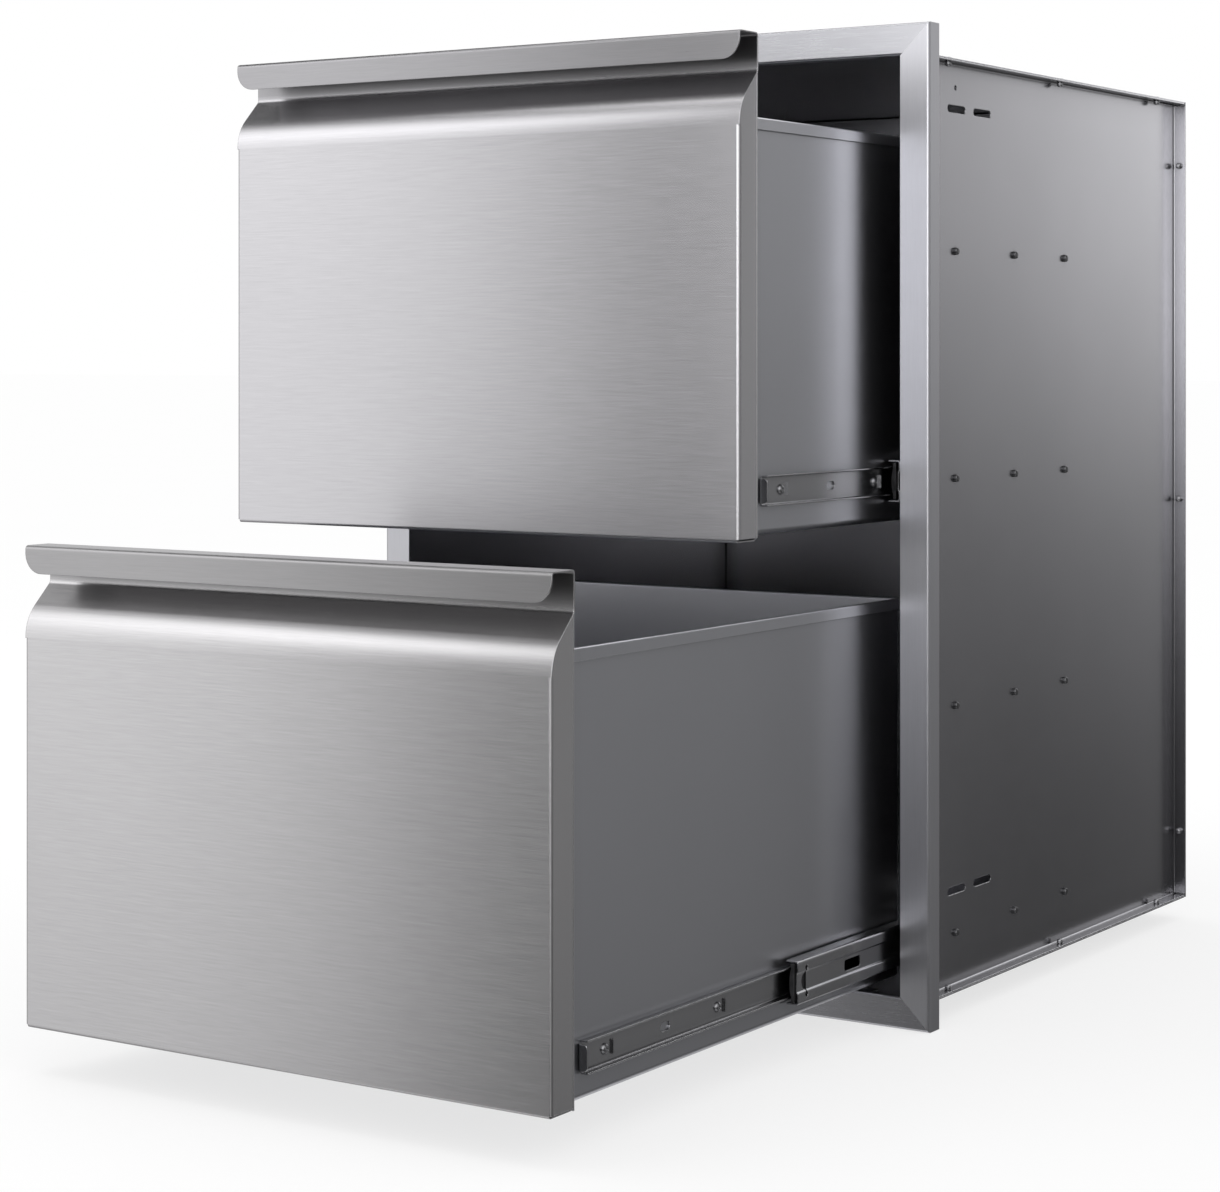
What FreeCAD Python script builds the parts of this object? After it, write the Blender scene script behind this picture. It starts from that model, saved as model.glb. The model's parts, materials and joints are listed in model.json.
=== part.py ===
import FreeCAD, Part
import math
import os
from FreeCAD import Vector

# Built-in two-drawer unit of folded stainless sheet, in millimetres.
# X runs across the width, Y from the front into the cabinet, Z upwards.
# The origin is the middle of the face frame's lower edge, on the plane where
# the frame's rear edges rest against the counter that it is built into.

# Drawer fronts and the gaps round them
front_width = 402.8
upper_front_height = 315.9
lower_front_height = 304.2
front_side_gap = 5.4
front_top_gap = 0.8
front_middle_gap = 4.5
front_bottom_gap = 7.2
front_sheet = 1.0
front_depth = 23.0
front_bend = 1.0
relief_drop = 58.5
return_flange = 12.0

# Pull that is folded along the top of each front
lip_height = 17.8
lip_corner = 13.0
pull_bend = 1.6
band_height = 24.5
shoulder_drop = 46.5
band_bend = 4.0
shoulder_bend = 27.0

# Face frame
frame_margin = 21.7
frame_depth = 15.0
frame_sheet = 1.0
frame_bend = 0.8
lip_depth = 12.0
lip_end_gap = 21.5

# Shell behind the frame
shell_sheet = 1.0
shell_bend = 1.0
shell_flange = 10.6
shell_drop = 4.7
shell_lap = 12.0
panel_side_gap = 5.3
slide_rear_gap = 23.5

# Slots for fixing the unit, in each side of the shell
slot_length = 27.9
slot_width = 5.3
slot_pitch = 40.3
slot_centre_y = 80.7
slot_top_inset = 33.1
slot_bottom_inset = 66.7
pilot_diameter = 3.7
pilot_y = 59.0
pilot_top_inset = 18.3

# Drawer boxes
box_sheet = 1.0
box_inset = 11.9
upper_box_height = 263.0
lower_box_height = 258.8
upper_box_rise = 2.0
lower_box_rise = -0.9
box_rear_margin = 8.0
box_flange = 10.0
box_bend = 3.0
box_flange_bend = 0.5
hem_height = 7.8
hem_gap = 0.2
hem_flare = 0.5
floor_edge_gap = 0.3
inner_front_side_inset = 1.0
inner_front_top_drop = 8.0

# Ball bearing slides
slide_length = 400.0
slide_setback = 43.5
slide_space = 12.7
upper_slide_rise = 28.0
lower_slide_rise = 25.2
rail_sheet = 1.0
rail_bend = 0.8
outer_rail_height = 37.0
outer_rail_start = 1.5
outer_rail_lip = 4.0
middle_rail_height = 28.2
middle_rail_start = 4.0
middle_rail_gap = 2.0
middle_rail_lip = 2.0
middle_recess = 1.0
middle_recess_half = 5.6
window_length = 21.4
window_height = 7.2
window_corner = 1.5
window_first = 73.7
window_pitch = 64.7
window_count = 5
latch_setback = 11.0
latch_width = 1.6
latch_half = 8.5
latch_hole_radius = 1.7
latch_bulge = 5.4
latch_bulge_depth = 5.5
inner_rail_height = 19.6
inner_rail_depth = 5.2
tab_height = 15.4
tab_reach = 6.4
tab_corner = 2.5
tab_clearance = 2.5
inner_slot_length = 10.6
inner_slot_width = 5.4
inner_slot_setback = 92.0
rib_setback = 7.5
rib_height = 8.6
rib_rise = 1.4

# Balls and the strips that hold them
ball_clearance = 0.1
strip_sheet = 0.8
strip_width = 4.2
strip_end = 8.0
outer_strip_length = 205.0
outer_strip_shift = -6.0
outer_ball_place = 6.4
inner_strip_length = 150.0
inner_strip_shift = 3.5
inner_ball_place = 3.5
balls_per_strip = 5

# Plastic bumper on the front end of each middle rail
nose_length = 2.5
nose_tail = 26.0
nose_height = 16.4
nose_inner = 5.5
nose_bulge = 1.5
collar_front = 1.5
collar_rear = 4.5
collar_height = 24.8
collar_inner = 6.2
bumper_clearance = 0.3

# Channels that carry the slides, and their screws and inserts
spacer_depth = 8.1
spacer_height = 32.0
spacer_length = 340.0
screw_diameter = 3.9
screw_head_diameter = 7.6
screw_head_height = 1.1
screw_clearance = 0.25
screw_socket = 3.0
insert_diameter = 5.2
insert_head_diameter = 8.4
insert_head_height = 0.8
insert_length = 2.6
insert_rounding = 1.0
insert_bore = 4.0
insert_wall = 0.8
insert_front_y = 58.5
insert_middle_y = 153.3
insert_rear_y = 239.9
fit_clearance = 0.05

# Rivets
rivet_diameter = 3.2
rivet_head_diameter = 6.4
rivet_head_height = 1.1
rivet_bulb_diameter = 4.6
rivet_bulb_length = 3.4
rivet_rows_y = (37.8, 221.7, 405.2)
rivet_rows_z = (53.0, 320.7, 589.0)
panel_rivet_x = 150.0
panel_rivet_inset = 8.0
front_rivet_inset = 5.5
front_rivet_bottom = 36.0
front_rivet_top = 50.0

# Screws that hold the inner rails to the boxes
rail_screw_front_place = 26.0
rail_screw_middle_place = 152.0
rail_screw_rear_inset = 48.0
rail_screw_diameter = 3.4
rail_screw_head = 6.6
rail_screw_head_height = 1.9
rail_screw_socket = 2.6

# How far each drawer, and its middle rails, stand open
upper_drawer_open = 202.4
upper_middle_open = 35.0
lower_drawer_open = 406.2
lower_middle_open = 174.4

# Places that follow from the sizes above
half_front = front_width / 2
half_opening = half_front + front_side_gap
half_frame = half_opening + frame_margin
opening_bottom = frame_margin
lower_front_bottom = opening_bottom + front_bottom_gap
lower_front_top = lower_front_bottom + lower_front_height
upper_front_bottom = lower_front_top + front_middle_gap
upper_front_top = upper_front_bottom + upper_front_height
opening_top = upper_front_top + front_top_gap
frame_height = opening_top + frame_margin
half_box = half_front - box_inset
face_y = -frame_depth
frame_back_y = face_y + frame_sheet
shell_inner = half_box + slide_space + spacer_depth
shell_outer = shell_inner + shell_sheet
flange_edge = shell_inner + shell_flange
shell_top_under = opening_top + frame_sheet
shell_top = shell_top_under + shell_sheet
shell_bottom = opening_bottom - frame_sheet - shell_drop
shell_bottom_over = shell_bottom + shell_sheet
rail_front_y = face_y + slide_setback
back_inner_y = rail_front_y + outer_rail_start + slide_length + slide_rear_gap
inner_front_y = face_y + front_depth
box_front_y = inner_front_y + front_sheet
box_rear_y = rail_front_y + slide_length - box_rear_margin
lower_box_bottom = lower_front_bottom + lower_box_rise
upper_box_bottom = upper_front_bottom + upper_box_rise
lower_box_top = lower_box_bottom + lower_box_height
upper_box_top = upper_box_bottom + upper_box_height
lower_slide_z = lower_box_bottom + lower_slide_rise
upper_slide_z = upper_box_bottom + upper_slide_rise
insert_pitch = (upper_slide_z - lower_slide_z) / 2
insert_rows = [lower_slide_z + insert_pitch * row for row in range(4)]
insert_columns = (insert_front_y, insert_middle_y, insert_rear_y)
rail_screw_places = (rail_screw_front_place, rail_screw_middle_place, slide_length - rail_screw_rear_inset)
panel_half_width = shell_inner - panel_side_gap

drawers = {
    "upper": {
        "front_bottom": upper_front_bottom, "front_top": upper_front_top,
        "box_bottom": upper_box_bottom, "box_top": upper_box_top, "slide_z": upper_slide_z,
        "drawer_open": upper_drawer_open, "middle_open": upper_middle_open,
    },
    "lower": {
        "front_bottom": lower_front_bottom, "front_top": lower_front_top,
        "box_bottom": lower_box_bottom, "box_top": lower_box_top, "slide_z": lower_slide_z,
        "drawer_open": lower_drawer_open, "middle_open": lower_middle_open,
    },
}
sides = {"left": -1, "right": 1}


def plane_xz(u, v):
    return Vector(u, 0, v)


def plane_xy(u, v):
    return Vector(u, v, 0)


def plane_yz(u, v):
    return Vector(0, u, v)


def turn(first, second):
    """Signed turn from one direction to the next, positive to the left."""
    cross = first[0] * second[1] - first[1] * second[0]
    dot = first[0] * second[0] + first[1] * second[1]
    return math.atan2(cross, dot)


def direction(start, end):
    length = math.hypot(end[0] - start[0], end[1] - start[1])
    return ((end[0] - start[0]) / length, (end[1] - start[1]) / length)


def offset_line(points, distance):
    """Corners of the same path, moved to its left by the distance."""
    moved_points = []
    directions = [direction(a, b) for a, b in zip(points, points[1:])]
    for index, point in enumerate(points):
        before = directions[max(index - 1, 0)]
        after = directions[min(index, len(directions) - 1)]
        half = turn(before, after) / 2
        along = distance * math.tan(half)
        moved_points.append((point[0] - before[1] * distance - before[0] * along,
                             point[1] + before[0] * distance - before[1] * along))
    return moved_points


def rounded_edges(points, radii, place):
    """Lines along a path, with an arc of the given radius in each corner."""
    edges = []
    last = points[0]
    for index in range(1, len(points) - 1):
        corner = points[index]
        before = direction(points[index - 1], corner)
        after = direction(corner, points[index + 1])
        angle = turn(before, after)
        radius = radii[index - 1]
        reach = radius * math.tan(abs(angle) / 2)
        start = (corner[0] - before[0] * reach, corner[1] - before[1] * reach)
        end = (corner[0] + after[0] * reach, corner[1] + after[1] * reach)
        side = 1 if angle > 0 else -1
        centre = (start[0] - before[1] * radius * side, start[1] + before[0] * radius * side)
        middle = direction(centre, corner)
        middle = (centre[0] + middle[0] * radius, centre[1] + middle[1] * radius)
        if math.hypot(start[0] - last[0], start[1] - last[1]) > 1e-6:
            edges.append(Part.makeLine(place(*last), place(*start)))
        edges.append(Part.Arc(place(*start), place(*middle), place(*end)).toShape())
        last = end
    edges.append(Part.makeLine(place(*last), place(*points[-1])))
    return edges


def folded(points, sheet, bends, place, along):
    """Sheet folded along a path, to the left of it, or to its right if sheet is negative.

    bends holds the inside radius of each corner, or one radius for all of them.
    """
    count = len(points) - 2
    inside = list(bends) if isinstance(bends, (list, tuple)) else [bends] * count
    other = offset_line(points, sheet)
    near = []
    far = []
    for index in range(count):
        angle = turn(direction(points[index], points[index + 1]),
                     direction(points[index + 1], points[index + 2]))
        turns_to_sheet = (angle > 0) == (sheet > 0)
        near.append(inside[index] + abs(sheet) if turns_to_sheet else inside[index])
        far.append(inside[index] if turns_to_sheet else inside[index] + abs(sheet))
    edges = rounded_edges(points, near, place)
    edges.append(Part.makeLine(place(*points[-1]), place(*other[-1])))
    edges.extend(rounded_edges(other[::-1], far[::-1], place))
    edges.append(Part.makeLine(place(*other[0]), place(*points[0])))
    face = Part.Face(Part.Wire(Part.__sortEdges__(edges)))
    return face.extrude(along)


def polygon(points, place, along):
    corners = [place(*point) for point in points]
    return Part.Face(Part.makePolygon(corners + corners[:1])).extrude(along)


def block(low, high):
    size = [b - a for a, b in zip(low, high)]
    return Part.makeBox(size[0], size[1], size[2], Vector(*low))


def rod(radius, start, end):
    """Cylinder from one point to another."""
    axis = Vector(*end) - Vector(*start)
    return Part.makeCylinder(radius, axis.Length, Vector(*start), axis)


def slot_through_x(x_range, y, z, length, width):
    """Cutter for a slot with round ends that runs along Y, through the X range."""
    reach = (length - width) / 2
    cutter = block((x_range[0], y - reach, z - width / 2), (x_range[1], y + reach, z + width / 2))
    for end in (y - reach, y + reach):
        cutter = cutter.fuse(rod(width / 2, (x_range[0], end, z), (x_range[1], end, z)))
    return cutter


def turned(profile, start, axis):
    """Solid turned about an axis: profile lists (distance along the axis, radius)."""
    points = [Vector(radius, 0, place) for place, radius in profile]
    face = Part.Face(Part.makePolygon(points + points[:1]))
    solid = face.revolve(Vector(0, 0, 0), Vector(0, 0, 1), 360)
    solid = Part.Solid(solid.Shells[0]) if not solid.Solids else solid.Solids[0]
    if solid.Volume < 0:
        solid.reverse()
    rotation = FreeCAD.Rotation(Vector(0, 0, 1), Vector(*axis))
    solid.Placement = FreeCAD.Placement(Vector(*start), rotation)
    return solid


def joined(pieces):
    whole = pieces[0]
    for piece in pieces[1:]:
        whole = whole.fuse(piece)
    return whole.removeSplitter()


def mirrored(shape, side):
    """The shape as made for the right side, or its mirror image for the left."""
    if side > 0:
        return shape
    return shape.mirror(Vector(0, 0, 0), Vector(1, 0, 0))


def shifted(shape, y):
    copy = shape.copy()
    copy.translate(Vector(0, y, 0))
    return copy


def save(name, shape):
    """Writes one node, as the solid that it is or as a group of separate solids."""
    solids = shape.Solids
    whole = solids[0] if len(solids) == 1 else Part.makeCompound(solids)
    whole.exportStep("parts/%s.step" % name)
    print("%-32s %3d solid(s) %10.1f mm3 valid %s" % (name, len(solids), whole.Volume, whole.isValid()))


def rivet(start, axis, grip):
    """Blind rivet: its head's underside is at start, and its bulb lies beyond the grip."""
    head = rivet_head_diameter / 2
    shank = rivet_diameter / 2
    bulb = rivet_bulb_diameter / 2
    profile = [
        (-rivet_head_height, 0), (-rivet_head_height, head * 0.45),
        (-rivet_head_height * 0.75, head * 0.75), (-rivet_head_height * 0.3, head), (0, head),
        (0, shank), (grip, shank), (grip + 0.3, bulb),
        (grip + rivet_bulb_length * 0.6, bulb), (grip + rivet_bulb_length * 0.85, bulb * 0.8),
        (grip + rivet_bulb_length, bulb * 0.45), (grip + rivet_bulb_length, 0),
    ]
    return turned(profile, start, axis)


def rivet_hole(start, axis, grip):
    reach = Vector(*axis) * (grip + 1)
    begin = Vector(*start) - Vector(*axis)
    return rod(rivet_diameter / 2 + fit_clearance, tuple(begin), tuple(Vector(*start) + reach))


# Face frame

def frame_stile(side):
    """Upright of the face frame, an angle with mitred ends."""
    section = [(half_opening, face_y), (half_frame, face_y), (half_frame, 0)]
    stile = folded(section, frame_sheet, frame_bend, plane_xy, Vector(0, 0, frame_height))
    outline = [(half_frame, 0), (half_frame, frame_height),
               (half_opening, frame_height - frame_margin), (half_opening, frame_margin)]
    keep = polygon(outline, plane_xz, Vector(0, frame_depth, 0))
    keep.translate(Vector(0, face_y, 0))
    return mirrored(stile.common(keep), side)


def frame_rail(top):
    """Cross piece of the face frame: an angle with mitred ends and a lip at the opening."""
    section = [(face_y + lip_depth, frame_margin), (face_y, frame_margin), (face_y, 0), (0, 0)]
    rail = folded(section, frame_sheet, frame_bend, plane_yz, Vector(2 * half_frame, 0, 0))
    rail.translate(Vector(-half_frame, 0, 0))
    outline = [(-half_frame, 0), (half_frame, 0), (half_opening, frame_margin), (-half_opening, frame_margin)]
    keep = polygon(outline, plane_xz, Vector(0, frame_depth, 0))
    keep.translate(Vector(0, face_y, 0))
    rail = rail.common(keep)
    lip_end = half_opening - lip_end_gap
    lip_root = face_y + frame_sheet + frame_bend
    for low, high in ((-half_frame, -lip_end), (lip_end, half_frame)):
        rail = rail.cut(block((low, lip_root, frame_margin / 2), (high, 1, frame_margin + 1)))
    if top:
        rail = rail.mirror(Vector(0, 0, frame_height / 2), Vector(0, 0, 1))
    return rail


# Shell

def side_flange_rivets():
    """Places of the rivets along one side's flanges: start, axis and grip, for the right side."""
    x = (shell_outer + flange_edge) / 2
    grip = 2 * shell_sheet
    places = []
    for y in rivet_rows_y:
        places.append(((x, y, shell_top), (0, 0, -1), grip))
        places.append(((x, y, shell_bottom), (0, 0, 1), grip))
    for z in rivet_rows_z:
        places.append(((x, back_inner_y + shell_sheet, z + shell_bottom), (0, -1, 0), grip))
    return places


def panel_rivets():
    """Places of the rivets that join the back to the flanges of the top and the bottom."""
    places = []
    for x in (-panel_rivet_x, 0, panel_rivet_x):
        for z in (shell_top - panel_rivet_inset, shell_bottom + panel_rivet_inset):
            places.append(((x, back_inner_y + shell_sheet, z), (0, -1, 0), 2 * shell_sheet))
    return places


def mirrored_place(place, side):
    start, axis, grip = place
    return ((start[0] * side, start[1], start[2]), axis, grip)


def all_shell_rivets():
    places = panel_rivets()
    for side in sides.values():
        places.extend(mirrored_place(place, side) for place in side_flange_rivets())
    return places


def punched(shape, places):
    holes = [rivet_hole(*place) for place in places]
    return shape.cut(Part.makeCompound(holes))


def shell_side(side):
    """Side of the shell: a sheet with a flange turned outwards along each of its four edges."""
    corner = shell_sheet + shell_bend
    front = frame_back_y
    rear = back_inner_y
    low = shell_bottom_over
    high = shell_top_under
    stub = 2 * corner
    upright = Vector(0, 0, high - low - 2 * corner)
    level = Vector(0, rear - front - 2 * corner, 0)
    web = block((shell_inner, front + corner, low + corner), (shell_outer, rear - corner, high - corner))
    front_flange = folded([(shell_inner, front + stub), (shell_inner, front), (flange_edge, front)],
                          shell_sheet, shell_bend, plane_xy, upright)
    front_flange.translate(Vector(0, 0, low + corner))
    rear_flange = folded([(shell_inner, rear - stub), (shell_inner, rear), (flange_edge, rear)],
                         -shell_sheet, shell_bend, plane_xy, upright)
    rear_flange.translate(Vector(0, 0, low + corner))
    top_flange = folded([(shell_inner, high - stub), (shell_inner, high), (flange_edge, high)],
                        -shell_sheet, shell_bend, plane_xz, level)
    top_flange.translate(Vector(0, front + corner, 0))
    bottom_flange = folded([(shell_inner, low + stub), (shell_inner, low), (flange_edge, low)],
                           shell_sheet, shell_bend, plane_xz, level)
    bottom_flange.translate(Vector(0, front + corner, 0))
    panel = joined([web, front_flange, rear_flange, top_flange, bottom_flange])
    through = (shell_inner - 1, shell_outer + 1)
    cutters = []
    for z in (shell_top - slot_top_inset, shell_bottom + slot_bottom_inset):
        for y in (slot_centre_y - slot_pitch / 2, slot_centre_y + slot_pitch / 2):
            cutters.append(slot_through_x(through, y, z, slot_length, slot_width))
    pilot_z = shell_top - pilot_top_inset
    cutters.append(rod(pilot_diameter / 2, (through[0], pilot_y, pilot_z), (through[1], pilot_y, pilot_z)))
    hole = insert_diameter / 2 + fit_clearance
    for z in insert_rows:
        for y in insert_columns:
            cutters.append(rod(hole, (through[0], y, z), (through[1], y, z)))
    panel = panel.cut(Part.makeCompound(cutters))
    return mirrored(punched(panel, side_flange_rivets()), side)


def shell_top_panel():
    """Top of the shell, turned up behind the top rail and down in front of the back."""
    rear = back_inner_y - shell_sheet
    section = [(frame_back_y, shell_top_under + shell_lap), (frame_back_y, shell_top_under),
               (rear, shell_top_under), (rear, shell_top - 2 * panel_rivet_inset)]
    middle = folded(section, shell_sheet, shell_bend, plane_yz, Vector(2 * panel_half_width, 0, 0))
    middle.translate(Vector(-panel_half_width, 0, 0))
    corner = shell_sheet + shell_bend
    plate = block((-flange_edge, frame_back_y + corner, shell_top_under),
                  (flange_edge, back_inner_y - corner, shell_top))
    return punched(joined([middle, plate]), all_shell_rivets())


def shell_bottom_panel():
    """Bottom of the shell, turned down behind the bottom rail and up in front of the back."""
    rear = back_inner_y - shell_sheet
    section = [(frame_back_y, shell_bottom_over - shell_lap), (frame_back_y, shell_bottom_over),
               (rear, shell_bottom_over), (rear, shell_bottom + 2 * panel_rivet_inset)]
    middle = folded(section, -shell_sheet, shell_bend, plane_yz, Vector(2 * panel_half_width, 0, 0))
    middle.translate(Vector(-panel_half_width, 0, 0))
    corner = shell_sheet + shell_bend
    plate = block((-flange_edge, frame_back_y + corner, shell_bottom),
                  (flange_edge, back_inner_y - corner, shell_bottom_over))
    return punched(joined([middle, plate]), all_shell_rivets())


def shell_back_panel():
    back = block((-flange_edge, back_inner_y, shell_bottom), (flange_edge, back_inner_y + shell_sheet, shell_top))
    return punched(back, all_shell_rivets())


def threaded_insert(side, y, z):
    """Closed insert with a blind bore, set in the side from within."""
    bore = insert_bore / 2
    barrel = insert_diameter / 2
    head = insert_head_diameter / 2
    end = shell_sheet + insert_length
    profile = [(-insert_head_height, bore), (-insert_head_height, head), (0, head), (0, barrel),
               (end - insert_rounding, barrel), (end - insert_rounding * 0.3, barrel - insert_rounding * 0.3),
               (end, barrel - insert_rounding), (end, 0), (end - insert_wall, 0), (end - insert_wall, bore)]
    return turned(profile, (side * shell_inner, y, z), (side, 0, 0))


# Drawer fronts

def pull_and_face(drawer):
    """Front sheet as one fold: lip, top, band behind the fingers, shoulder, face and foot."""
    top = drawer["front_top"]
    bottom = drawer["front_bottom"]
    lip = face_y + front_sheet
    rear = inner_front_y
    band = rear - front_sheet
    path = [(lip, top - lip_height), (lip, top - front_sheet), (band, top - front_sheet),
            (band, top - band_height), (face_y, top - shoulder_drop), (face_y, bottom),
            (rear, bottom), (rear, bottom + return_flange)]
    bends = [pull_bend, pull_bend, band_bend, shoulder_bend, front_bend, front_bend]
    sheet = folded(path, front_sheet, bends, plane_yz, Vector(front_width, 0, 0))
    sheet.translate(Vector(-half_front, 0, 0))
    return sheet


def lip_corner_cutter(side, top):
    """What the rounded lower corner of the lip leaves out."""
    low = top - lip_height
    inner = half_front - lip_corner
    square = block((inner, face_y - 1, low - 1), (half_front + 1, face_y + front_sheet + pull_bend, low + lip_corner))
    round_part = rod(lip_corner, (inner, face_y - 1, low + lip_corner), (inner, face_y + front_depth, low + lip_corner))
    return mirrored(square.cut(round_part), side)


def ahead_of_pull(drawer):
    """The space in front of the rear side of the pull, from the band to the face."""
    top = drawer["front_top"]
    bottom = drawer["front_bottom"]
    path = [(inner_front_y - front_sheet, top), (inner_front_y - front_sheet, top - band_height),
            (face_y, top - shoulder_drop), (face_y, bottom)]
    rear = offset_line(path, front_sheet)
    edges = rounded_edges(rear, [band_bend + front_sheet, shoulder_bend], plane_yz)
    close = [rear[-1], (face_y - 1, bottom), (face_y - 1, top), rear[0]]
    edges.extend(Part.makeLine(plane_yz(*a), plane_yz(*b)) for a, b in zip(close, close[1:]))
    space = Part.Face(Part.Wire(Part.__sortEdges__(edges))).extrude(Vector(2 * front_width, 0, 0))
    space.translate(Vector(-front_width, 0, 0))
    return space


def front_return(drawer, side):
    """Side of the front, folded back from the face, with a flange turned in at its rear."""
    top = drawer["front_top"]
    bottom = drawer["front_bottom"]
    corner = front_sheet + front_bend
    relief = top - relief_drop
    rear = inner_front_y
    inner = half_front - return_flange
    full = [(half_front - 2 * corner, face_y), (half_front, face_y), (half_front, rear), (inner, rear)]
    lower = folded(full, front_sheet, front_bend, plane_xy, Vector(0, 0, relief - bottom - corner))
    lower.translate(Vector(0, 0, bottom + corner))
    plain = [(half_front, face_y + front_sheet), (half_front, rear), (inner, rear)]
    upper = folded(plain, front_sheet, front_bend, plane_xy, Vector(0, 0, relief_drop - band_height))
    upper.translate(Vector(0, 0, relief))
    return mirrored(lower.fuse(upper.cut(ahead_of_pull(drawer))), side)


def front_rivet_places(drawer):
    """Rivets down each side, through the inner front and the front's flange, heads to the rear."""
    low = drawer["front_bottom"] + front_rivet_bottom
    high = drawer["front_top"] - front_rivet_top
    places = []
    for side in sides.values():
        for step in range(3):
            start = (side * (half_front - front_rivet_inset), box_front_y, low + (high - low) * step / 2)
            places.append((start, (0, -1, 0), 2 * front_sheet))
    return places


def drawer_front(drawer):
    """Outer skin of the front, with its pull and its returns, from one folded sheet."""
    top = drawer["front_top"]
    bottom = drawer["front_bottom"]
    corner = front_sheet + front_bend
    skin = pull_and_face(drawer)
    for side in sides.values():
        ends = sorted((side * (half_front - corner), side * (half_front + 1)))
        skin = skin.cut(block((ends[0], face_y - 1, bottom - 1), (ends[1], box_front_y, top - relief_drop)))
        skin = skin.cut(lip_corner_cutter(side, top))
    skin = joined([skin, front_return(drawer, 1), front_return(drawer, -1)])
    return punched(skin, front_rivet_places(drawer))


def inner_front(drawer):
    """Flat sheet that closes the back of the front and forms the box's front wall."""
    half = half_front - inner_front_side_inset
    low = max(drawer["box_bottom"], drawer["front_bottom"])
    sheet = block((-half, inner_front_y, low), (half, box_front_y, drawer["front_top"] - inner_front_top_drop))
    return punched(sheet, front_rivet_places(drawer))


# Drawer boxes

def hemmed_top(wall, edge, top):
    """The last corners of a wall whose top edge is folded over outwards and stands off a little at its end."""
    outside = wall + hem_gap
    return [(wall, edge), (outside, edge), (outside + hem_flare, top - hem_height)]


def box_side(drawer, side):
    """Side of the box: a rounded foot turned in, a hemmed rim, and a flange at the front."""
    bottom = drawer["box_bottom"]
    top = drawer["box_top"]
    path = [(half_box - box_flange, bottom), (half_box, bottom)] + hemmed_top(half_box, top - box_sheet, top)
    bends = [box_bend, hem_gap / 2, hem_gap / 2]
    wall = folded(path, box_sheet, bends, plane_xz, Vector(0, box_rear_y - box_front_y, 0))
    wall.translate(Vector(0, box_front_y, 0))
    corner = box_sheet + box_flange_bend
    clear = box_sheet + box_bend
    flange = folded([(half_box, box_front_y + 2 * corner), (half_box, box_front_y),
                     (half_box - box_flange, box_front_y)], -box_sheet, box_flange_bend, plane_xy,
                    Vector(0, 0, top - hem_height - bottom - 2 * clear))
    flange.translate(Vector(0, 0, bottom + clear))
    gap = block((half_box - box_flange - 1, box_front_y - 1, bottom + clear),
                (half_box + 1, box_front_y + corner, top - hem_height - clear))
    wall = joined([wall.cut(gap), flange])
    z = drawer["slide_z"]
    holes = [rod(rail_screw_diameter / 2 + fit_clearance, (half_box - 2 * box_sheet, y, z), (half_box + box_sheet, y, z))
             for y in rail_screw_ys()]
    return mirrored(wall.cut(Part.makeCompound(holes)), side)


def box_back(drawer):
    """Rear wall of the box, hemmed at the top, with its ends and foot turned forwards."""
    bottom = drawer["box_bottom"]
    top = drawer["box_top"]
    half = half_box - box_sheet
    rise = bottom + box_sheet + box_bend
    path = [(box_rear_y, rise)] + hemmed_top(box_rear_y, top - box_sheet, top)
    wall = folded(path, box_sheet, [hem_gap / 2, hem_gap / 2], plane_yz, Vector(2 * half, 0, 0))
    wall.translate(Vector(-half, 0, 0))
    corner = box_sheet + box_flange_bend
    pieces = [wall.cut(block((half - corner, box_rear_y - box_sheet - 1, rise), (half + 1, box_rear_y, top - hem_height)))]
    pieces[0] = pieces[0].cut(block((-half - 1, box_rear_y - box_sheet - 1, rise),
                                    (corner - half, box_rear_y, top - hem_height)))
    for side in sides.values():
        ear = folded([(half - 2 * corner, box_rear_y), (half, box_rear_y), (half, box_rear_y - box_flange)],
                     -box_sheet, box_flange_bend, plane_xy, Vector(0, 0, top - hem_height - rise))
        ear.translate(Vector(0, 0, rise))
        pieces.append(mirrored(ear, side))
    return joined(pieces)


def box_floor(drawer):
    """Floor of the box, which rests on the feet of both sides and meets the inner front."""
    half = half_box - box_sheet - box_bend - floor_edge_gap
    low = drawer["box_bottom"] + box_sheet
    rear = box_rear_y - box_sheet
    path = [(box_front_y, low), (rear + box_sheet, low), (rear + box_sheet, low + box_bend)]
    floor = folded(path, box_sheet, 0.5, plane_yz, Vector(2 * half, 0, 0))
    floor.translate(Vector(-half, 0, 0))
    return floor


# Slides, each drawn for the right side with its drawer closed

def rail_screw_ys():
    return [rail_front_y + place for place in rail_screw_places]


def outer_rail(z):
    """Rail that is screwed to the cabinet: a channel with lips that hold the outer balls."""
    half = outer_rail_height / 2
    back = half_box + slide_space
    lip = half_box + outer_rail_lip
    path = [(lip, z + half), (back, z + half), (back, z - half), (lip, z - half)]
    rail = folded(path, -rail_sheet, rail_bend, plane_xz, Vector(0, slide_length, 0))
    rail.translate(Vector(0, rail_front_y + outer_rail_start, 0))
    hole = screw_diameter / 2 + screw_clearance
    holes = [rod(hole, (half_box, y, z), (back + 1, y, z)) for y in insert_columns]
    return rail.cut(Part.makeCompound(holes))


def rounded_window(x_range, y, z):
    """Cutter for a window with rounded corners."""
    reach = window_length / 2
    rise = window_height / 2
    box = block((x_range[0], y - reach, z - rise), (x_range[1], y + reach, z + rise))
    edges = [edge for edge in box.Edges if abs(edge.tangentAt(edge.FirstParameter).x) > 0.9]
    return box.makeFillet(window_corner, edges)


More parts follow.
